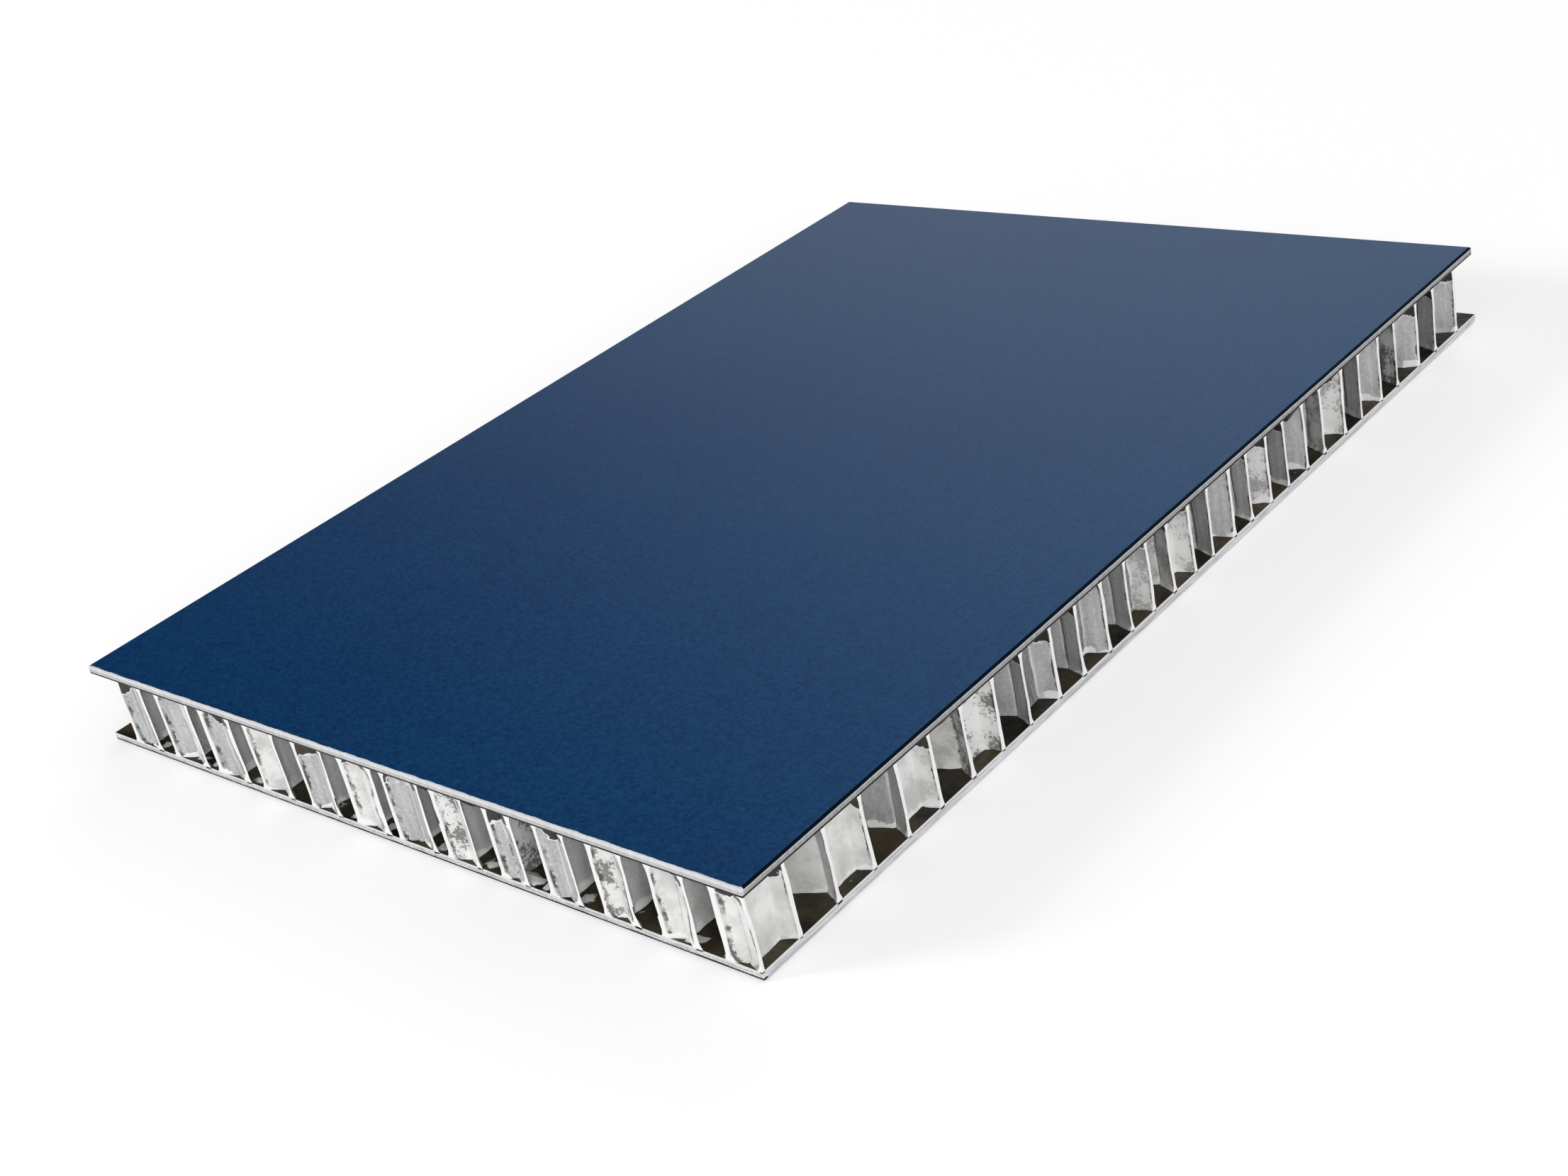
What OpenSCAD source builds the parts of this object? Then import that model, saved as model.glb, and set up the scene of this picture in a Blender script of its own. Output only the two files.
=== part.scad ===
// Aluminium honeycomb sandwich panel, sawn to a hand-sized sample
// Two face sheets are bonded by adhesive films to a core of corrugated foil ribbons.
// Neighbouring ribbons touch along their nodes, and the cells open between the nodes.
// Millimetres, Z up. The origin is the middle of the underside, with X across the ribbons and Y along them.

/* [Panel] */
// Width of the panel, across the ribbons
panel_width = 148; // [120:1:180]
// Length of the panel, along the ribbons
panel_length = 210; // [160:1:260]

/* [Face sheets] */
// Thickness of the painted top sheet
top_sheet_t = 1.2; // [0.8:0.1:2]
// Thickness of the bare bottom sheet
bottom_sheet_t = 1.2; // [0.8:0.1:2]
// Radius that the shear rolls onto the outer arris of each sheet
arris_r = 0.4; // [0.1:0.05:0.6]

/* [Adhesive] */
// Thickness of each adhesive film
film_t = 0.3; // [0.1:0.05:0.6]

/* [Core] */
// Height of the foil ribbons, from film to film
core_h = 12; // [6:0.5:30]
// Thickness of the foil
foil_t = 0.2; // [0.1:0.05:0.3]
// Thickness of the glue line between two ribbons at a node
node_glue_t = 0.02; // [0.01:0.01:0.1]
// Distance between neighbouring bond lines, half the width of a cell, fitted to the panel's width
bond_pitch = 5.6; // [4.5:0.1:8]
// Length of a cell along the ribbons, fitted to the panel's length
cell_length = 14; // [12:0.1:20]
// Length of a bonded node
node_length = 5; // [3:0.1:5.5]
// How far the first bond line lies beyond the left edge
left_overhang = 1.2; // [1:0.1:2]
// How far the last bond line lies beyond the right edge
right_overhang = 2.9; // [2.6:0.1:4]
// Distance from the front and back edges to the middle of the nearest nodes
edge_node = 3.7; // [3.4:0.1:5]

/* [Uneven expansion] */
// Angle by which the ribbons lean to the left on their way to the back
lean_angle = 0.4; // [0:0.05:0.5]
// Height of the wave that stretches the cells across the ribbons
stretch_across = 1.7; // [0:0.1:3]
// Where the cells lie furthest to the right of an even grid, as a share of the panel's width
peak_across = 0.4; // [0:0.01:1]
// Height of the wave that stretches the cells along the ribbons
stretch_along = 4.4; // [0:0.1:6]
// Where the cells lie furthest behind an even grid, as a share of the panel's length
peak_along = 0.315; // [0:0.005:1]
// How far a single node strays from its place
stray = 0.4; // [0:0.05:0.5]

/* [Hidden] */
$fn = 48;

// Heights of the layers, from the floor up
bottom_film_z = bottom_sheet_t;
core_z = bottom_film_z + film_t;
top_film_z = core_z + core_h;
top_sheet_z = top_film_z + film_t;

// The bond lines share out the width and the rows of nodes share out the length
lattice_width = panel_width + left_overhang + right_overhang;
lattice_length = panel_length - 2 * edge_node;
ribbon_count = round(lattice_width / bond_pitch);
row_count = round(lattice_length / (cell_length / 2));
line_gap = lattice_width / ribbon_count;
row_gap = lattice_length / row_count;

// One more row of nodes lies beyond the front edge and one beyond the back edge
first_row = -1;
last_row = row_count + 1;

// Numbers from -1 to 1, two for each node of each bond line
stray_seed = 7;
strays = [for (line = [0:ribbon_count]) rands(-1, 1, 2 * (last_row - first_row + 1), stray_seed + line)];

// The outermost ribbons are sawn through along the panel's left and right edges
inner_names = [for (i = [1:ribbon_count - 2]) str("foil_ribbon_", i < 10 ? "0" : "", i)];
ribbon_names = concat(["left_edge_ribbon"], inner_names, ["right_edge_ribbon"]);

// Shift of a stretched core at a share of its extent, which is zero at both of the panel's edges
function stretch(height, share, peak) = height * (cos(360 * (share - peak)) - cos(360 * peak));

// A point of the even grid, measured from the front left corner, moved to its place in the stretched core
function stretched(p, q) =
    let (
        x = p + stretch(stretch_across, p / panel_width, peak_across),
        y = q + stretch(stretch_along, q / panel_length, peak_along)
    )
    [x - y * tan(lean_angle) - panel_width / 2, y - panel_length / 2];

// One end of a node: line is its bond line from the left, end is -1 at the front and 1 at the back
function node_end(line, row, end) =
    let (
        dice = strays[line],
        slot = 2 * (row - first_row),
        p = line * line_gap - left_overhang,
        q = edge_node + row * row_gap
    )
    stretched(p + stray / 2 * dice[slot], q + stray * dice[slot + 1] + end * node_length / 2);

// Nodes alternate between a ribbon's left and right bond lines, and neighbours meet node to node
function on_right_line(ribbon, row) = (ribbon + row) % 2 == 0;

function unit(v) = v / norm(v);
function left_of(v) = [-v.y, v.x];

// The two ends of a ribbon's foil at one node, with half of the glue line between it and the bond line
function node_points(ribbon, row) =
    let (
        right = on_right_line(ribbon, row),
        line = right ? ribbon : ribbon - 1,
        front = node_end(line, row, -1),
        back = node_end(line, row, 1),
        inward = (right ? 1 : -1) * (foil_t + node_glue_t) / 2 * left_of(unit(back - front))
    )
    [front + inward, back + inward];

// The foil has broken away in front of the left edge's first row and behind the right edge's last row
function centre_line(ribbon) =
    let (
        from_row = ribbon == 1 ? 0 : first_row,
        to_row = ribbon == ribbon_count ? row_count : last_row
    )
    [for (row = [from_row:to_row]) each node_points(ribbon, row)];

// A line moved sideways by a distance, with mitred folds
function beside(points, distance) =
    let (last = len(points) - 1)
    [for (i = [0:last])
        let (
            before = left_of(unit(points[max(i, 1)] - points[max(i, 1) - 1])),
            after = left_of(unit(points[min(i, last - 1) + 1] - points[min(i, last - 1)]))
        )
        points[i] + distance * (before + after) / (1 + before * after)
    ];

function reversed(list) = [for (i = [len(list) - 1:-1:0]) list[i]];

function ribbon_outline(ribbon) =
    let (centre = centre_line(ribbon))
    concat(beside(centre, foil_t / 2), reversed(beside(centre, -foil_t / 2)));

module foil_ribbon(ribbon) {
    color("lightgray")
        translate([0, 0, core_z])
            linear_extrude(core_h)
                intersection() {
                    polygon(ribbon_outline(ribbon));
                    square([panel_width, panel_length], center = true);
                }
}

module adhesive_film(z) {
    color("saddlebrown")
        translate([-panel_width / 2, -panel_length / 2, z])
            cube([panel_width, panel_length, film_t]);
}

// Section of a sheet with its outer face up and both outer arrises rolled
module sheet_section(width, thickness) {
    translate([-width / 2, 0])
        square([width, thickness - arris_r]);
    translate([arris_r - width / 2, 0])
        square([width - 2 * arris_r, thickness]);
    for (side = [-1, 1])
        translate([side * (width / 2 - arris_r), thickness - arris_r])
            circle(arris_r);
}

module face_sheet(thickness) {
    intersection() {
        rotate([90, 0, 0])
            linear_extrude(panel_length, center = true)
                sheet_section(panel_width, thickness);
        rotate([90, 0, 90])
            linear_extrude(panel_width, center = true)
                sheet_section(panel_length, thickness);
    }
}

module top_face_sheet() {
    color("midnightblue")
        translate([0, 0, top_sheet_z])
            face_sheet(top_sheet_t);
}

module bottom_face_sheet() {
    color("silver")
        translate([0, 0, bottom_sheet_t])
            mirror([0, 0, 1])
                face_sheet(bottom_sheet_t);
}

bottom_face_sheet();
adhesive_film(bottom_film_z);  // bottom_adhesive_film
for (i = [1:ribbon_count])
    foil_ribbon(i);
adhesive_film(top_film_z);  // top_adhesive_film
top_face_sheet();
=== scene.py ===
# %% [markdown]
# # An aluminium honeycomb panel, dressed in Blender
# The part is a sawn sample of a sandwich panel: two aluminium sheets, two films of brown adhesive and a core of
# corrugated foil ribbons. Its exact solids are loaded first and stay where they are. The two sheets already have
# the right shape, so they only get finishes. The foil and the adhesive are soft and torn by the saw, so each gets
# a more detailed piece that stands for its solid.

import math

import bmesh
import bpy
from mathutils import Matrix, Vector, noise


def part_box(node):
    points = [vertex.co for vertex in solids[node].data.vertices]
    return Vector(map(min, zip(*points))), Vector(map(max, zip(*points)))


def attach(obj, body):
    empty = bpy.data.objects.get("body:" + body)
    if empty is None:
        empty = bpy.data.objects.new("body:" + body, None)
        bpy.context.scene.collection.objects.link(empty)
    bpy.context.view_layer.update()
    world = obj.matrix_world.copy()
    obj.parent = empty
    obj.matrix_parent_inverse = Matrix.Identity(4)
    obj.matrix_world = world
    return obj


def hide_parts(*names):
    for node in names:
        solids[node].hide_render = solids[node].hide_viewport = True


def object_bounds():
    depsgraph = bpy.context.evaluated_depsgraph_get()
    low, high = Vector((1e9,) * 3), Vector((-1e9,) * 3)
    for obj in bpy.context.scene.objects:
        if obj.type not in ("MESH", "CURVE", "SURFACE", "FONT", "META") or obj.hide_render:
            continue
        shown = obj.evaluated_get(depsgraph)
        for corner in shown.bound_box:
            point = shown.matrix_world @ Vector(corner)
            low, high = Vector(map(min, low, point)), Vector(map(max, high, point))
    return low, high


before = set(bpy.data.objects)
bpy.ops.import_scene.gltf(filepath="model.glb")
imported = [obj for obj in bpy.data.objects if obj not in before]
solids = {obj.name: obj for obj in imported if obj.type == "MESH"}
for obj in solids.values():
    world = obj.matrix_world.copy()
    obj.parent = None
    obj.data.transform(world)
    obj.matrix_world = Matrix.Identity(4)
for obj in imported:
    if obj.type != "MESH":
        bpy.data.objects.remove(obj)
cad_low, cad_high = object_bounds()
print("solids", len(solids), "box", [round(v, 4) for v in (*cad_low, *cad_high)])

# %% [markdown]
# ## Helpers for working as by hand
# An operator acts on everything that is selected, and loading leaves the solids selected. By hand one would click
# the piece first. In a script each step drops every selection, takes up one piece and then selects its edges or
# points by where they lie.

# %% Take up a piece and select parts of it
MM = 0.001


def take_up(piece):
    """Makes one piece the only selected and active one."""
    bpy.ops.object.select_all(action="DESELECT")
    piece.select_set(True)
    bpy.context.view_layer.objects.active = piece


def edit(piece, mode="VERT"):
    """Opens a piece in edit mode with nothing selected."""
    take_up(piece)
    bpy.ops.object.mode_set(mode="EDIT")
    bpy.ops.mesh.select_mode(type=mode)
    bpy.ops.mesh.select_all(action="DESELECT")


def close_edit():
    """Goes back to object mode."""
    bpy.ops.object.mode_set(mode="OBJECT")


def select_edges(piece, wanted):
    """Selects the edges of a piece in edit mode that a test picks."""
    shape = bmesh.from_edit_mesh(piece.data)
    for edge in shape.edges:
        edge.select_set(wanted(edge))
    shape.select_flush_mode()
    bmesh.update_edit_mesh(piece.data)


def apply_modifiers(piece):
    """Applies a piece's modifiers in their order."""
    take_up(piece)
    for modifier in list(piece.modifiers):
        bpy.ops.object.modifier_apply(modifier=modifier.name)


# %% [markdown]
# ## The foil ribbons
# Each ribbon is a strip of thin foil, folded to and fro and bonded to its neighbours along its nodes. In the solids
# the folds are sharp and the walls are flat. On the real core the folds are small radii, the walls are a little
# crumpled from the expansion, adhesive draws the foil out into a flared foot at each sheet, and the saw leaves a
# bright burr along every cut. A ribbon could be drawn anew as a bent strip with a Solidify modifier. A copy of its
# solid is better, because every fold is already in its place. The copy is merged, its folds are bevelled, and it is
# divided only where the detail goes. Displace modifiers then do the crumpling and the flaring.

# %% Where the saw cut, and where the foil meets the films
SAW_X = cad_high.x
SAW_Y = cad_high.y
foil_low, foil_high = (corner.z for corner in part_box("foil_ribbon_01"))
ribbon_nodes = sorted((name for name in solids if "ribbon" in name), key=lambda name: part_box(name)[0].x)
print("ribbons", len(ribbon_nodes), "foil from", round(foil_low, 5), "to", round(foil_high, 5))


# %% Copy one ribbon and clean its mesh
MERGE_DISTANCE = 0.001 * MM
FLAT_ANGLE = math.radians(0.5)


def copy_of_ribbon(node):
    """A copy of a ribbon's solid, with its loose triangles merged into plain walls."""
    piece = bpy.data.objects.new(node.replace("ribbon", "strip"), solids[node].data.copy())
    bpy.context.scene.collection.objects.link(piece)
    piece.data.materials.clear()
    edit(piece)
    bpy.ops.mesh.customdata_custom_splitnormals_clear()
    bpy.ops.mesh.select_all(action="SELECT")
    bpy.ops.mesh.remove_doubles(threshold=MERGE_DISTANCE)
    bpy.ops.mesh.dissolve_limited(angle_limit=FLAT_ANGLE)
    close_edit()
    return piece


# %% Mark the walls that are painted bright
# Stretches of the front and right cut faces where walls are painted bright, as painted light on walls that catch it:
# from and to, in millimetres from their left ends, and how speckled
BRIGHT_FRONT = ((24, 27.5, 0.3), (45, 49.5, 0.2), (65.5, 77, 0.1), (88.5, 94, 1), (103, 107.5, 1), (120, 125, 1),
                (131, 148, 0.1))
BRIGHT_RIGHT = ((0, 24, 0.1), (31, 45, 0.2), (45, 53, 1), (91, 108, 0.5), (128, 133, 0.6), (147, 161, 0.6),
                (172, 180, 1))
# How deep one sees into the cells. Further in, a noise with patches of this size says which walls are bright
SEEN_DEPTH = 9 * MM
INNER_PATCH = 9 * MM
INNER_LEVEL = 0.2
INNER_SPECKLE = 0.6
# How much darker, as painted shade, the walls at the ribbons' ends are coloured where they face the cut, and how
# walls differ by themselves
END_SHADE = 0.55
OWN_TONE = 0.15
OWN_TONE_PATCH = 4 * MM


def in_stretches(place, stretches):
    """The speckle of the stretch that a place lies in, or none."""
    return next((speckle for low, high, speckle in stretches if low * MM < place < high * MM), None)


def wall_speckle(middle):
    """How speckled a bright wall is, as seen slantwise into the cells, or none for a dull wall."""
    behind_front = middle.y + SAW_Y
    behind_right = SAW_X - middle.x
    if behind_front < SEEN_DEPTH and behind_front < behind_right:
        return in_stretches(middle.x + SAW_X + behind_front, BRIGHT_FRONT)
    if behind_right < SEEN_DEPTH:
        return in_stretches(middle.y + SAW_Y - behind_right, BRIGHT_RIGHT)
    return INNER_SPECKLE if noise.noise(middle / INNER_PATCH) > INNER_LEVEL else None


def wall_tone(middle, normal):
    """How pale a dull wall is, from 0 to 1, with painted shade by the way it faces."""
    behind_end = SAW_Y - abs(middle.y)
    behind_side = SAW_X - abs(middle.x)
    # Painted shade: a wall is coloured darker the more it faces the nearest cut.
    facing = END_SHADE * abs(normal.y) if behind_end < behind_side else abs(normal.x)
    own = OWN_TONE * noise.noise(middle / OWN_TONE_PATCH)
    return min(max(1.0 - facing + own, 0.0), 1.0)


def mark_walls(piece):
    """Writes each wall's looks into attributes that its finish reads."""
    shape = bmesh.new()
    shape.from_mesh(piece.data)
    bright = shape.faces.layers.float.new("bright")
    shade_and_tone = shape.faces.layers.float.new("shade_and_tone")
    specks = shape.faces.layers.float.new("specks")
    for face in shape.faces:
        middle = face.calc_center_median()
        speckle = wall_speckle(middle)
        face[bright] = float(speckle is not None)
        face[specks] = speckle or 0.0
        face[shade_and_tone] = wall_tone(middle, face.normal)
    shape.to_mesh(piece.data)
    shape.free()


# %% Round the folds and divide the walls
FOLD_BEVEL = 0.45 * MM
FOLD_SEGMENTS = 3
WALL_CUTS = 3
SHORTEST_WALL = 1.3 * MM
SAW_SLACK = 0.002 * MM
# Distances from the foil's foot and top edge, and from the saw cuts, where the walls are divided
FOOT_STEPS = [step * MM for step in (0.12, 0.3, 0.6, 1.1, 2.0, 3.4)]
BURR_STEPS = [step * MM for step in (0.12, 0.4, 0.9)]


def upright(edge):
    """Whether an edge climbs more than it runs level."""
    a, b = (vert.co for vert in edge.verts)
    return abs(a.z - b.z) > 0.5 * edge.calc_length()


def sawn(point):
    """Whether a point lies on a saw cut."""
    return abs(point.x) > SAW_X - SAW_SLACK or abs(point.y) > SAW_Y - SAW_SLACK


def is_fold(edge):
    """An upright edge between two long walls that the saw has not cut."""
    if not upright(edge) or sawn(edge.verts[0].co):
        return False
    flat_edges = [e for face in edge.link_faces for e in face.edges if not upright(e)]
    return min(e.calc_length() for e in flat_edges) > SHORTEST_WALL


def fold_and_divide(piece):
    """Bevels the folds, cuts the walls at the steps and divides their long level edges."""
    edit(piece, "EDGE")
    select_edges(piece, is_fold)
    bpy.ops.mesh.bevel(offset=FOLD_BEVEL, segments=FOLD_SEGMENTS, profile=0.5, affect="EDGES")
    planes = [((0, 0, foil_low + s), (0, 0, 1)) for s in FOOT_STEPS]
    planes += [((0, 0, foil_high - s), (0, 0, 1)) for s in FOOT_STEPS]
    planes += [((0, 0, (foil_low + foil_high) / 2), (0, 0, 1))]
    planes += [((side * (SAW_X - s), 0, 0), (1, 0, 0)) for s in BURR_STEPS for side in (-1, 1)]
    planes += [((0, side * (SAW_Y - s), 0), (0, 1, 0)) for s in BURR_STEPS for side in (-1, 1)]
    for point, normal in planes:
        bpy.ops.mesh.select_all(action="SELECT")
        bpy.ops.mesh.bisect(plane_co=point, plane_no=normal)
    bpy.ops.mesh.select_all(action="DESELECT")
    select_edges(piece, lambda e: not upright(e) and e.calc_length() > SHORTEST_WALL)
    bpy.ops.mesh.subdivide(number_cuts=WALL_CUTS)
    close_edit()


# %% Say where the foil flares and which points lie on a saw cut
BURR_DEPTH = 1.0 * MM
FOOT_HEIGHT = 1.4 * MM
RAGGED_PATCH = 1.3 * MM
# Shares of the full flare. At the ends the saw met the foil aslant, so its cut is wide and its burr is slight
SIDE_BURR = 0.5
END_BURR = 0.03
TOP_FLARE = 0.7


def ease(share):
    """A smooth step from 0 to 1."""
    share = min(max(share, 0.0), 1.0)
    return share * share * (3 - 2 * share)


def flare_weight(point):
    """How far the foil is thickened at a point: by the saw's burr, and by the adhesive at its foot and top."""
    ragged = 0.75 + 0.5 * noise.noise(point / RAGGED_PATCH)
    side_burr = SIDE_BURR * ease(1 - (SAW_X - abs(point.x)) / BURR_DEPTH)
    end_burr = END_BURR * ease(1 - (SAW_Y - abs(point.y)) / BURR_DEPTH)
    foot = 1 - (point.z - foil_low) / FOOT_HEIGHT
    top = 1 - (foil_high - point.z) / FOOT_HEIGHT
    thick = max(side_burr, end_burr) + max(foot, TOP_FLARE * top, 0) ** 2
    return min(thick, 1.0) * min(ragged, 1.0)


def mark_points(piece):
    """Puts the flare's weights and the points of each saw cut into vertex groups."""
    groups = {name: piece.vertex_groups.new(name=name) for name in ("flare", "left", "right", "front", "back")}
    for vert in piece.data.vertices:
        groups["flare"].add([vert.index], flare_weight(vert.co), "REPLACE")
        for name, inside in (
            ("left", vert.co.x + SAW_X),
            ("right", SAW_X - vert.co.x),
            ("front", vert.co.y + SAW_Y),
            ("back", SAW_Y - vert.co.y),
        ):
            if inside < SAW_SLACK:
                groups[name].add([vert.index], 1.0, "REPLACE")


# %% Crumple the walls, flare the foil and saw it flat again
CRUMPLE = 0.5 * MM
CRUMPLE_PATCH = 7 * MM
FLARE = 0.55 * MM
crumple = bpy.data.textures.new("crumple", "CLOUDS")
crumple.noise_scale = CRUMPLE_PATCH
crumple.noise_depth = 1


def crumple_and_flare(piece, inset):
    """Displaces the walls, then presses the sawn points flat and trims what sticks out."""
    for axis in "XY":
        wave = piece.modifiers.new("crumple " + axis, "DISPLACE")
        wave.texture = crumple
        wave.texture_coords = "GLOBAL"
        wave.direction = axis
        wave.strength = CRUMPLE
    flare = piece.modifiers.new("flare", "DISPLACE")
    flare.vertex_group = "flare"
    flare.mid_level = 0
    flare.strength = FLARE
    apply_modifiers(piece)
    edit(piece)
    half_width, half_length = SAW_X - inset, SAW_Y - inset
    for name, scale, centre in (
        ("left", (0, 1, 1), (-half_width, 0, 0)),
        ("right", (0, 1, 1), (half_width, 0, 0)),
        ("front", (1, 0, 1), (0, -half_length, 0)),
        ("back", (1, 0, 1), (0, half_length, 0)),
    ):
        bpy.ops.mesh.select_all(action="DESELECT")
        bpy.ops.object.vertex_group_set_active(group=name)
        bpy.ops.object.vertex_group_select()
        bpy.ops.transform.resize(value=scale, center_override=centre)
    close_edit()
    for vert in piece.data.vertices:
        vert.co.x = min(max(vert.co.x, -half_width), half_width)
        vert.co.y = min(max(vert.co.y, -half_length), half_length)


# %% Make all the ribbons
FOIL_SMOOTH = math.radians(40)
# Every second ribbon is cut a hair shorter, so that bonded ends don't lie in one plane
HAIR = 0.012 * MM

foils = {}
for number, node in enumerate(ribbon_nodes):
    piece = copy_of_ribbon(node)
    mark_walls(piece)
    fold_and_divide(piece)
    mark_points(piece)
    crumple_and_flare(piece, number % 2 * HAIR)
    take_up(piece)
    bpy.ops.object.shade_smooth_by_angle(angle=FOIL_SMOOTH)
    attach(piece, "root")
    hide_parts(node)
    foils[node] = piece
print("foil faces", sum(len(piece.data.polygons) for piece in foils.values()))

# %% [markdown]
# ## The adhesive films
# The adhesive was a film that melted between the sheet and the foil. It set with a lumpy skin, it sags in patches
# into the cells under the top sheet, and torn crumbs of foil stick in it near the saw cuts. The lumps could be
# sculpted, but a script can't repeat that. Here each film starts as a fine grid at the skin's height. A Displace
# modifier with a vertex group raises the lumps. Then the skin's border is extruded to the sheet, flattened there and
# filled, which closes the piece.

# %% Where the adhesive is lumpy
film_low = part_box("bottom_adhesive_film")[0].z
film_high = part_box("top_adhesive_film")[1].z
SAG = 1.8 * MM
CRUMB = 1.3 * MM
# The lumps fade over this distance towards the cuts, and nothing sags this close to a corner of the panel
FLUSH_DEPTH = 1.2 * MM
CLEAR_CORNER = 6 * MM
# Sizes of the patches, and how far behind the front and the other cuts the crumbs reach
SAG_PATCH = 4.5 * MM
CRUMB_PATCH = 2.2 * MM
SKIN_PATCH = 2 * MM
FRONT_CRUMBS = 3.5 * MM
OTHER_CRUMBS = 2.5 * MM


def behind_saw(point):
    """Distance from the nearest saw cut."""
    return min(SAW_X - abs(point.x), SAW_Y - abs(point.y))


def off_saw(point):
    """Falls to nothing at the cuts, where the film ends flush."""
    return ease(behind_saw(point) / FLUSH_DEPTH)


def sag_weight(point):
    """Patches of adhesive that hang from the top film."""
    corner = math.hypot(SAW_X - abs(point.x), SAW_Y - abs(point.y))
    patch = ease((noise.noise(point / SAG_PATCH) - 0.02) / 0.35) * ease((corner - CLEAR_CORNER) / (4 * MM))
    uneven = 0.75 + 0.35 * noise.noise(point / (1.6 * MM))
    skin = 0.03 * noise.noise(point / SKIN_PATCH)
    return (patch * uneven + skin) * off_saw(point)


def crumb_weight(point):
    """Torn foil that stands in the bottom film near the cuts, most of it along the front."""
    near = ease(1 - (point.y + SAW_Y) / FRONT_CRUMBS) * ease((point.x + SAW_X - 5 * MM) / (3 * MM))
    near += 0.25 * ease(1 - behind_saw(point) / OTHER_CRUMBS)
    heap = ease((noise.noise(point / CRUMB_PATCH) - 0.05) / 0.3)
    skin = 0.05 * noise.noise(point / SKIN_PATCH)
    return (min(near, 1.0) * heap + skin) * off_saw(point)


# %% Make the films
GRID_X, GRID_Y = 124, 176
FILM_SMOOTH = math.radians(50)


def make_film(node, skin, sheet, reach, weight):
    """A film as a lumpy skin at one height, closed at the sheet it sticks to."""
    bpy.ops.object.select_all(action="DESELECT")
    bpy.ops.mesh.primitive_grid_add(x_subdivisions=GRID_X, y_subdivisions=GRID_Y, size=1, location=(0, 0, skin))
    piece = bpy.context.object
    piece.name = node.replace("film", "skin")
    piece.scale = (2 * SAW_X, 2 * SAW_Y, 1)
    bpy.ops.object.transform_apply(location=True, rotation=True, scale=True)
    lumps = piece.vertex_groups.new(name="lumps")
    for vert in piece.data.vertices:
        lumps.add([vert.index], min(max(weight(vert.co), 0.0), 1.0), "REPLACE")
    raised = piece.modifiers.new("lumps", "DISPLACE")
    raised.direction = "Z"
    raised.vertex_group = "lumps"
    raised.mid_level = 0
    raised.strength = reach
    apply_modifiers(piece)
    edit(piece, "EDGE")
    bpy.ops.mesh.select_all(action="SELECT")
    bpy.ops.mesh.region_to_loop()
    bpy.ops.mesh.extrude_edges_move()
    bpy.ops.transform.resize(value=(1, 1, 0), center_override=(0, 0, sheet))
    bpy.ops.mesh.edge_face_add()
    bpy.ops.mesh.select_all(action="SELECT")
    bpy.ops.mesh.normals_make_consistent(inside=False)
    close_edit()
    bpy.ops.object.shade_smooth_by_angle(angle=FILM_SMOOTH)
    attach(piece, "root")
    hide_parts(node)
    return piece


films = [
    make_film("bottom_adhesive_film", foil_low, film_low, CRUMB, crumb_weight),
    make_film("top_adhesive_film", foil_high, film_high, -SAG, sag_weight),
]
print("films", [(piece.name, len(piece.data.polygons)) for piece in films])

# %% [markdown]
# ## Finishes
# Painted images could carry these surfaces, but every piece would have to be unwrapped for them. Here each finish is
# a small tree of nodes on Object coordinates instead. Because each piece sits at the origin, a pattern keeps its
# place on the panel from any side.


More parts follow.
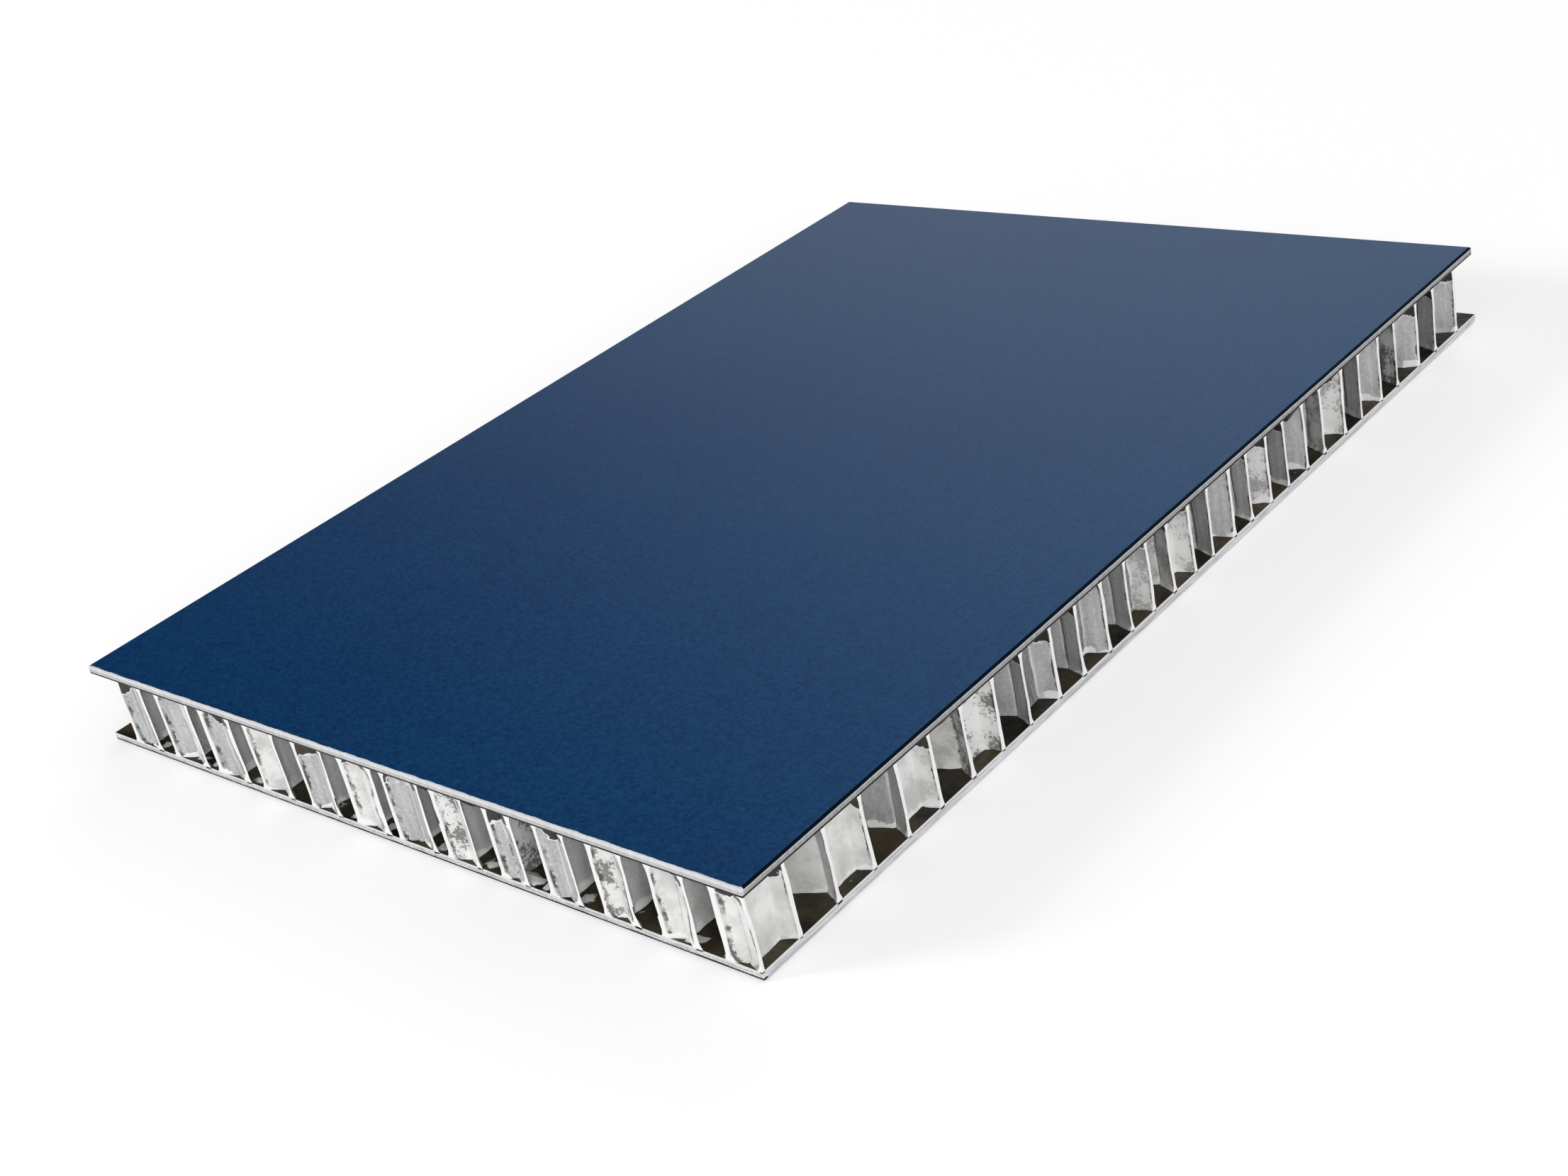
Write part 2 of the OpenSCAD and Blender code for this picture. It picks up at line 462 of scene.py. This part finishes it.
# %% A small helper for node trees
class Finish:
    """One material and short ways to add and join its nodes."""

    def __init__(self, name):
        self.material = bpy.data.materials.new(name)
        self.material.use_nodes = True
        self.tree = self.material.node_tree
        self.shader = self.tree.nodes["Principled BSDF"]
        self.place = self.tree.nodes.new("ShaderNodeTexCoord").outputs["Object"]

    def put(self, value, socket):
        """Joins an output to a socket, or sets a plain value on it."""
        if isinstance(value, bpy.types.NodeSocket):
            self.tree.links.new(value, socket)
        else:
            socket.default_value = value

    def math(self, kind, a, b=0.0, c=0.0):
        node = self.tree.nodes.new("ShaderNodeMath")
        node.operation = kind
        for value, socket in zip((a, b, c), node.inputs):
            self.put(value, socket)
        return node.outputs[0]

    def stretched(self, scale):
        """Object coordinates with a scale of their own along each axis."""
        node = self.tree.nodes.new("ShaderNodeMapping")
        node.inputs["Scale"].default_value = scale
        self.put(self.place, node.inputs["Vector"])
        return node.outputs[0]

    def noise(self, scale, detail=3.0, where=None, rough=0.5):
        """A cloudy pattern, with about as many lumps to a metre as the scale says."""
        node = self.tree.nodes.new("ShaderNodeTexNoise")
        self.put(where or self.place, node.inputs["Vector"])
        node.inputs["Scale"].default_value = scale
        node.inputs["Detail"].default_value = detail
        node.inputs["Roughness"].default_value = rough
        return node.outputs["Fac"]

    def between(self, value, low, high, to_low=0.0, to_high=1.0, smooth=True):
        """Maps a range of values to another, and holds both ends."""
        node = self.tree.nodes.new("ShaderNodeMapRange")
        node.interpolation_type = "SMOOTHSTEP" if smooth else "LINEAR"
        for number, socket in zip((value, low, high, to_low, to_high), node.inputs):
            self.put(number, socket)
        return node.outputs[0]

    def spread(self, pattern, to_low, to_high):
        """Maps the values that a noise mostly takes."""
        return self.between(pattern, 0.3, 0.7, to_low, to_high)

    def blend(self, share, a, b):
        node = self.tree.nodes.new("ShaderNodeMix")
        node.data_type = "RGBA"
        self.put(share, node.inputs["Factor"])
        self.put(a, node.inputs[6])
        self.put(b, node.inputs[7])
        return node.outputs[2]

    def attribute(self, name):
        node = self.tree.nodes.new("ShaderNodeAttribute")
        node.attribute_name = name
        return node.outputs["Fac"]

    def axes(self):
        node = self.tree.nodes.new("ShaderNodeSeparateXYZ")
        self.put(self.place, node.inputs[0])
        return node.outputs

    def from_saw(self):
        """Distance from the nearest saw cut."""
        x, y, _ = self.axes()
        from_side = self.math("SUBTRACT", SAW_X, self.math("ABSOLUTE", x))
        from_end = self.math("SUBTRACT", SAW_Y, self.math("ABSOLUTE", y))
        return self.math("MINIMUM", from_side, from_end)

    def bump(self, height, depth):
        node = self.tree.nodes.new("ShaderNodeBump")
        node.inputs["Distance"].default_value = depth
        self.put(height, node.inputs["Height"])
        return node.outputs[0]

    def set(self, **sockets):
        """Sets sockets of the shader, with their names' spaces written as underscores."""
        for name, value in sockets.items():
            self.put(value, self.shader.inputs[name.replace("_", " ")])
        return self.material


# %% [markdown]
# ### Painted top sheet
# The outer face has a dark blue coil coating with a fine satin grain. The shear bared the metal along the front
# edge, while on the other three sides the coating is drawn down over the rolled arris. The edge faces could get a
# second material, but then the border would be as straight as the mesh. A mask by the depth below the top face lets
# the coating end in a fine ragged line.

# %% Coated sheet: where the coating reaches
ARRIS = 0.4 * MM
SIDE_REACH = 1.15 * ARRIS
FRONT_REACH = 0.12 * ARRIS

coated = Finish("navy_coating")
_, y, z = coated.axes()
depth = coated.math("SUBTRACT", cad_high.z, z)
from_top = coated.math("ADD", depth, coated.spread(coated.noise(500, 3), -0.02 * MM, 0.02 * MM))
at_front = coated.between(y, -SAW_Y + ARRIS, -SAW_Y + 1.3 * ARRIS, 1, 0)
reach = coated.between(at_front, 0, 1, SIDE_REACH, FRONT_REACH, smooth=False)
paint = coated.between(coated.math("SUBTRACT", reach, from_top), 0, 0.03 * MM)
rolled_edge = coated.between(depth, 0.003 * MM, 0.04 * MM)
print("coating reaches down", SIDE_REACH, "and at the front", FRONT_REACH)

# %% Coated sheet: blue grain on the face, and painted shade on the arris
COATING = (0.0, 0.026, 0.104, 1)
COATING_CLOUD = (0.0004, 0.05, 0.150, 1)
COATING_ARRIS_SHADE = (0.001, 0.003, 0.007, 1)

grain = coated.noise(1700, 2)
cloudy = coated.math("MULTIPLY_ADD", coated.noise(14, 2), 0.2, grain)
face_blue = coated.blend(coated.between(cloudy, 0.45, 0.75, smooth=False), COATING, COATING_CLOUD)
# Where the coating runs down over the rolled arris it is coloured near black: painted shade on the arris that turns
# away from the light.
blue = coated.blend(rolled_edge, face_blue, COATING_ARRIS_SHADE)

# %% Coated sheet: bare sheared edges
SHEARED = (0.52, 0.52, 0.52, 1)
SHEARED_PALE = (0.95, 0.95, 0.95, 1)
BROKEN = (0.22, 0.21, 0.21, 1)
BROKEN_PALE = (0.78, 0.77, 0.76, 1)

# A shear first cuts a smooth band into the sheet, then the rest breaks off rough
shear_marks = coated.noise(1, 4, coated.stretched((1500, 1500, 300)))
# The bare front edge is coloured paler than the other sides: painted light on the side that faces the lamps. The
# rest of the paleness follows the shear marks.
marks_and_front_light = coated.math("MULTIPLY_ADD", at_front, 0.4, coated.math("MULTIPLY", shear_marks, 0.6))
smooth_band = coated.blend(marks_and_front_light, SHEARED, SHEARED_PALE)
broken_band = coated.blend(marks_and_front_light, BROKEN, BROKEN_PALE)
bare = coated.blend(coated.between(from_top, 0.45 * MM, 0.75 * MM), smooth_band, broken_band)
rough = coated.math("MULTIPLY_ADD", rolled_edge, 4, grain)
coated.set(
    Base_Color=coated.blend(paint, bare, blue),
    Metallic=coated.between(paint, 0, 1, 0.35, 0, smooth=False),
    Roughness=coated.between(rough, 0.3, 4.5, 0.31, 0.65, smooth=False),
    Specular_IOR_Level=coated.between(coated.math("MULTIPLY", rolled_edge, paint), 0, 1, 0.55, 0.1),
    Specular_Tint=(0.22, 0.63, 1.0, 1),
    Normal=coated.bump(grain, 0.01 * MM),
)
solids["top_face_sheet"].material_slots[0].material = coated.material
print("finish", coated.material.name, "with", len(coated.tree.nodes), "nodes")

# %% [markdown]
# ### Bare bottom sheet
# The back sheet is mill-finished aluminium with fine rolling lines along its length. Its sheared edge is streaked,
# and its lower arris is painted nearly black as the contact shadow along the floor. A wave texture could draw the
# lines, but it looks too even. A noise that is squeezed across the sheet and drawn out along it gives lines of
# uneven strength.

# %% Mill finish with painted contact shadow on the lower arris
MILL_DARK = (0.42, 0.43, 0.44, 1)
MILL_PALE = (0.76, 0.77, 0.79, 1)
# Painted contact shadow: the lower arris is coloured near black where the sheet meets the floor, higher up along the
# front.
CONTACT_SHADE = (0.012, 0.012, 0.014, 1)
CONTACT_SHADE_FRONT = 0.56 * MM
CONTACT_SHADE_OTHER = 0.24 * MM

mill = Finish("mill_finish")
_, y, z = mill.axes()
rolled = mill.noise(1, 5, mill.stretched((3000, 25, 3000)))
sheared = mill.noise(1, 4, mill.stretched((260, 260, 3500)))
side = mill.between(mill.from_saw(), 0.3 * MM, 0.45 * MM, 1, 0)
height = mill.math("ADD", z, mill.spread(mill.noise(300, 4), -0.05 * MM, 0.05 * MM))
shade_top = mill.between(y, -SAW_Y + 0.5 * MM, -SAW_Y + 1.0 * MM, CONTACT_SHADE_FRONT, CONTACT_SHADE_OTHER)
shaded_arris = mill.math("MULTIPLY", mill.between(mill.math("SUBTRACT", shade_top, height), 0, 0.06 * MM), side)
marks = mill.math("ADD", rolled, mill.between(side, 0, 1, 0.5, sheared, smooth=False))
sheet = mill.blend(mill.between(marks, 0.75, 1.25), MILL_DARK, MILL_PALE)
mill.set(
    Base_Color=mill.blend(shaded_arris, sheet, CONTACT_SHADE),
    Metallic=mill.between(shaded_arris, 0, 1, 0.5, 0.0),
    Specular_IOR_Level=mill.between(shaded_arris, 0, 1, 0.5, 0.05),
    Roughness=mill.spread(rolled, 0.32, 0.48),
    Normal=mill.bump(rolled, 0.01 * MM),
)
solids["bottom_face_sheet"].material_slots[0].material = mill.material
print("finish", mill.material.name, "with", len(mill.tree.nodes), "nodes")

# %% [markdown]
# ### Foil
# The walls are dull grey foil with fine scratches, coloured darker by the way they face as painted shade. Near the
# cuts some walls are painted bright where they catch the light, and further in some are bright at random. The bright
# ones are speckled. The cut edges are almost white, with dark lines just behind them. Brown adhesive has run down
# from the top film in uneven patches, each with a pale rim, and these patches also carry painted shade under the top
# sheet. Each of these could be a material on faces of its own. One material reads the walls' attributes and masks
# the rest by the distance from the saw and the films, so no border follows the mesh.

# %% Foil: dull and bright walls
DULL_DARK = (0.14, 0.145, 0.15, 1)
DULL_PALE = (0.85, 0.85, 0.85, 1)
BRIGHT_DARK = (0.72, 0.72, 0.71, 1)
BRIGHT_PALE = (0.86, 0.86, 0.85, 1)
SPECK = (0.22, 0.22, 0.21, 1)

foil = Finish("foil")
z = foil.axes()[2]
bright_walls = foil.attribute("bright")
fine = foil.noise(1800, 5, rough=0.7)
blotch = foil.noise(260, 4)
streaks = foil.spread(foil.noise(1, 3, foil.stretched((1100, 1100, 120))), -0.1, 0.1)
shade_and_tone = foil.math("MULTIPLY_ADD", foil.attribute("shade_and_tone"), 0.8, -0.25)
grey = foil.math("ADD", foil.math("MULTIPLY_ADD", fine, 0.8, shade_and_tone), streaks)
dull = foil.blend(grey, DULL_DARK, DULL_PALE)
dots = foil.between(foil.math("ADD", fine, blotch), 0.92, 1.02, 1, 0)
specks = foil.math("MULTIPLY", foil.attribute("specks"), dots)
bright = foil.blend(foil.between(blotch, 0.35, 0.65), BRIGHT_DARK, BRIGHT_PALE)
wall = foil.blend(bright_walls, dull, foil.blend(specks, bright, SPECK))

# %% Foil: adhesive runs with painted shade below the top film, and dark lines behind the cuts
STICKY_DARK = (0.008, 0.007, 0.005, 1)
STICKY_PALE = (0.05, 0.042, 0.03, 1)
LONGEST_RUN = 2.2 * MM

# The runs are brown adhesive and also painted shade: they darken the tops of the walls under the top sheet.
reach = foil.between(foil.noise(125, 1), 0.38, 0.6, -0.5 * MM, LONGEST_RUN)
reach = foil.math("ADD", reach, foil.spread(foil.noise(900, 4), -0.35 * MM, 0.35 * MM))
spare = foil.math("SUBTRACT", reach, foil.math("SUBTRACT", foil_high, z))
run_and_top_shade = foil.between(spare, 0, 0.12 * MM)
above_rim = foil.between(spare, 0, 0.05 * MM, 1, 0)
rim = foil.math("MULTIPLY", foil.between(spare, -0.3 * MM, -0.1 * MM), above_rim)
from_saw = foil.from_saw()
ragged = foil.math("ADD", from_saw, foil.spread(fine, -0.12 * MM, 0.12 * MM))
not_far = foil.between(ragged, 0.3 * MM, 0.4 * MM, 1, 0)
behind_cut = foil.math("MULTIPLY", foil.between(from_saw, 0.08 * MM, 0.14 * MM), not_far)
# A dark line in the adhesive's colour is painted just behind each cut.
dark_line = foil.math("MULTIPLY", behind_cut, foil.between(foil.noise(400, 3), 0.4, 0.6, 0.1, 0.9))
sticky = foil.blend(fine, STICKY_DARK, STICKY_PALE)
wall = foil.blend(foil.math("MAXIMUM", run_and_top_shade, dark_line), wall, sticky)

# %% Foil: white cuts, rims and crumbs
CUT_WHITE = (0.93, 0.93, 0.92, 1)

cut = foil.between(from_saw, 0.02 * MM, 0.08 * MM, 1, 0)
heap = foil.between(blotch, 0.4, 0.65, 0, 1.3 * MM)
crumbs = foil.between(foil.math("SUBTRACT", heap, foil.math("SUBTRACT", z, foil_low)), 0, 0.15 * MM)
pale = foil.math("MAXIMUM", cut, foil.math("MAXIMUM", rim, crumbs))
matt = foil.math("MAXIMUM", pale, foil.math("MAXIMUM", run_and_top_shade, bright_walls))
foil.set(
    Base_Color=foil.blend(pale, wall, CUT_WHITE),
    Metallic=foil.between(matt, 0, 1, 0.3, 0.05),
    Roughness=foil.spread(fine, 0.38, 0.5),
    Normal=foil.bump(foil.math("ADD", foil.noise(900, 4), blotch), 0.08 * MM),
)
for piece in foils.values():
    piece.data.materials.append(foil.material)
print("finish", foil.material.name, "with", len(foil.tree.nodes), "nodes on", len(foils), "ribbons")

# %% [markdown]
# ### Adhesive
# The films are brown adhesive that has run and set with a lumpy skin, and near the saw the bottom one is full of
# torn metal. The crumbs could be pieces of their own. The skin's lumps already have their shape, so a mask by height
# is enough to turn the highest ones to metal.

# %% Adhesive films
BROWN_DARK = (0.006, 0.005, 0.003, 1)
BROWN_ABOVE = (0.018, 0.016, 0.012, 1)
BROWN_BELOW = (0.05, 0.039, 0.02, 1)
TORN_METAL = (0.8, 0.8, 0.79, 1)

adhesive = Finish("adhesive")
z = adhesive.axes()[2]
lumps = adhesive.noise(700, 4)
low_half = adhesive.between(z, 4 * MM, 6 * MM, 1, 0)
pale_brown = adhesive.blend(low_half, BROWN_ABOVE, BROWN_BELOW)
brown = adhesive.blend(adhesive.between(adhesive.noise(120, 3), 0.35, 0.65), BROWN_DARK, pale_brown)
smeared = adhesive.between(adhesive.from_saw(), 0.02 * MM, 0.08 * MM, 1, 0)
height = adhesive.math("ADD", z, adhesive.spread(lumps, -0.1 * MM, 0.1 * MM))
crumb = adhesive.between(height, foil_low + 0.2 * MM, foil_low + 0.4 * MM)
metal = adhesive.math("MULTIPLY", adhesive.math("MAXIMUM", smeared, crumb), low_half)
adhesive.set(
    Base_Color=adhesive.blend(metal, brown, TORN_METAL),
    Metallic=adhesive.between(metal, 0, 1, 0, 0.3),
    Specular_IOR_Level=0.25,
    Roughness=adhesive.spread(lumps, 0.35, 0.6),
    Normal=adhesive.bump(lumps, 0.15 * MM),
)
for piece in films:
    piece.data.materials.append(adhesive.material)
print("finish", adhesive.material.name, "with", len(adhesive.tree.nodes), "nodes on", len(films), "films")

# %% [markdown]
# ## Stage, light and camera
# The panel lies on a plain white floor in a soft studio that is darker at the left, and the coating's shades are the
# reflection of that. Three softboxes light the cut edges. They are hidden from reflections, where they would show as
# bright squares. The floor could be made white by more light, but that would bleach the panel. So it adds a little
# light of its own where it is seen straight or in a reflection, more of it further away, and still shows the shadow.

# %% White floor
FLOOR_SIZE = 40
FLOOR_GAP = 0.05 * MM
# The floor's own light, at these distances from the panel's middle
NEAR, NEAR_GLOW = 0.4, 0.355
FAR, FAR_GLOW = 2.5, 0.62

bpy.ops.object.select_all(action="DESELECT")
bpy.ops.mesh.primitive_plane_add(size=FLOOR_SIZE, location=(0, 0, -FLOOR_GAP))
floor = bpy.context.object
floor.name = "floor"
white = Finish("white_floor")
rays = white.tree.nodes.new("ShaderNodeLightPath").outputs
mirrored = white.math("MAXIMUM", rays["Is Glossy Ray"], rays["Is Transmission Ray"])
seen = white.math("MAXIMUM", rays["Is Camera Ray"], mirrored)
x, y, _ = white.axes()
away = white.math("SQRT", white.math("MULTIPLY_ADD", x, x, white.math("MULTIPLY", y, y)))
white.set(
    Base_Color=(0.8, 0.8, 0.8, 1),
    Roughness=0.9,
    Emission_Color=(1, 1, 1, 1),
    Emission_Strength=white.math("MULTIPLY", seen, white.between(away, NEAR, FAR, NEAR_GLOW, FAR_GLOW)),
)
floor.data.materials.append(white.material)
print("floor", floor.name, "of", FLOOR_SIZE, "m")

# %% Soft studio round the panel, darker at the left
STUDIO_LIGHT = 0.69
DARK_SIDE = (-0.776, -0.071, 0.627)
# How closely a direction agrees with the dark side's where the shade starts and where it is full
SHADE_START, SHADE_FULL = 0.60, 0.85

world = bpy.data.worlds.new("studio")
bpy.context.scene.world = world
world.use_nodes = True
tree = world.node_tree
direction = tree.nodes.new("ShaderNodeTexCoord").outputs["Generated"]
towards = tree.nodes.new("ShaderNodeVectorMath")
towards.operation = "DOT_PRODUCT"
towards.inputs[1].default_value = DARK_SIDE
tree.links.new(direction, towards.inputs[0])
shade = tree.nodes.new("ShaderNodeMapRange")
shade.interpolation_type = "SMOOTHSTEP"
for number, socket in zip((SHADE_START, SHADE_FULL, STUDIO_LIGHT, 0.0), list(shade.inputs)[1:5]):
    socket.default_value = number
tree.links.new(towards.outputs["Value"], shade.inputs[0])
# Seen straight, the studio is plain white
backdrop = tree.nodes.new("ShaderNodeMath")
backdrop.operation = "MAXIMUM"
tree.links.new(shade.outputs[0], backdrop.inputs[0])
tree.links.new(tree.nodes.new("ShaderNodeLightPath").outputs["Is Camera Ray"], backdrop.inputs[1])
tree.links.new(backdrop.outputs[0], tree.nodes["Background"].inputs["Strength"])
tree.nodes["Background"].inputs["Color"].default_value = (1, 1, 1, 1)
bpy.context.scene.view_settings.view_transform = "Standard"
print("studio light", STUDIO_LIGHT)


# %% Softboxes
def softbox(name, at, size, power):
    """A square lamp that faces the panel and doesn't show in reflections."""
    bpy.ops.object.light_add(type="AREA", location=at)
    lamp = bpy.context.object
    lamp.name = name
    lamp.data.size = size
    lamp.data.energy = power
    lamp.rotation_euler = (-Vector(at)).to_track_quat("-Z", "Y").to_euler()
    lamp.visible_glossy = False
    return lamp


lamps = [
    softbox("key", (-2.2, -1.9, 1.15), 0.8, 45),
    softbox("front_fill", (2.35, -1.55, 1.25), 1.0, 30),
    softbox("back_fill", (-1.3, 2.4, 1.25), 1.5, 12),
]
print("lamps", [(lamp.name, lamp.data.energy) for lamp in lamps])

# %% Camera at the photo's angle
LENS = 51.0
EYE = Vector((249.26, -254.95, 175.95)) * MM
ACROSS = Vector((0.75275, 0.62662, -0.20176))
UP = Vector((-0.16709, 0.47832, 0.86214))
BACK = ACROSS.cross(UP)
camera_data = bpy.data.cameras.new("camera")
camera_data.lens = LENS
camera_data.sensor_width = 36
camera_data.clip_start = 0.01
camera = bpy.data.objects.new("camera", camera_data)
bpy.context.scene.collection.objects.link(camera)
camera.matrix_world = Matrix.Translation(EYE) @ Matrix((ACROSS, UP, BACK)).transposed().to_4x4()
bpy.context.scene.camera = camera
print("camera", LENS, "mm, from the origin", round(EYE.length, 3), "m")
